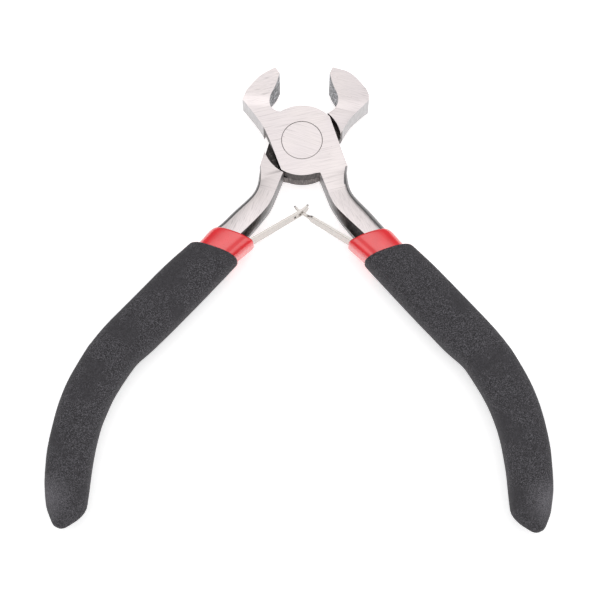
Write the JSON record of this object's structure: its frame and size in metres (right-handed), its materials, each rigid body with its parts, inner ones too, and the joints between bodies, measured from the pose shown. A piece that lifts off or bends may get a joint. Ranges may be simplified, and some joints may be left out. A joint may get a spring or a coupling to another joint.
{
  "type": "end cutting nipper",
  "caption": "Mini end-cutting nipper with a flush-riveted lap joint, hooked leaf return springs, glossy inner sleeves and soft outer grips, shown open.",
  "frame": {"origin": "centre of the pivot rivet's rear face, which is flush with the rear half", "axes": "+Z along the pivot axis out of the front face, +Y towards the jaws, +X towards the right-hand handle's side"},
  "size_m": [0.1038, 0.101, 0.0118],
  "materials": {
    "ground_steel": "surface ground, fine lines across the joint face",
    "rivet_steel": "ground flush with the joint face",
    "spring_steel": "satin",
    "red_vinyl": "glossy, dipped",
    "black_rubber": "fine matte grain"
  },
  "bodies": {
    "rear_half": {"rear_half": "ground_steel", "pivot_rivet": "rivet_steel", "left_spring_foot": "spring_steel", "left_spring_rivet": "rivet_steel", "left_sleeve": "red_vinyl", "left_grip": "black_rubber"},
    "front_half": {"front_half": "ground_steel", "right_spring_foot": "spring_steel", "right_spring_rivet": "rivet_steel", "right_sleeve": "red_vinyl", "right_grip": "black_rubber"},
    "right_leaf": {"right_leaf_spring": "spring_steel"},
    "left_leaf": {"left_leaf_spring": "spring_steel"}
  },
  "joints": [
    {"name": "pivot", "type": "hinge", "parent": "rear_half", "child": "front_half", "pos_m": [0, 0, 0.0028], "axis": [0, 0, -1], "range_deg": [0, 40.2], "stiffness_Nm_per_rad": 0.1, "springref_deg": -17.19},
    {"name": "right_leaf_bend", "type": "hinge", "parent": "front_half", "child": "right_leaf", "pos_m": [0.01093, -0.02273, 0.0028], "axis": [0, 0, -1], "range_deg": [0, 26.6]},
    {"name": "left_leaf_bend", "type": "hinge", "parent": "rear_half", "child": "left_leaf", "pos_m": [-0.01093, -0.02273, 0.0028], "axis": [0, 0, 1], "range_deg": [0, 26.6]}
  ],
  "couplings": [
    {"joint": "right_leaf_bend", "follows": "pivot", "ratio": 0.655},
    {"joint": "left_leaf_bend", "follows": "pivot", "ratio": 0.655}
  ]
}
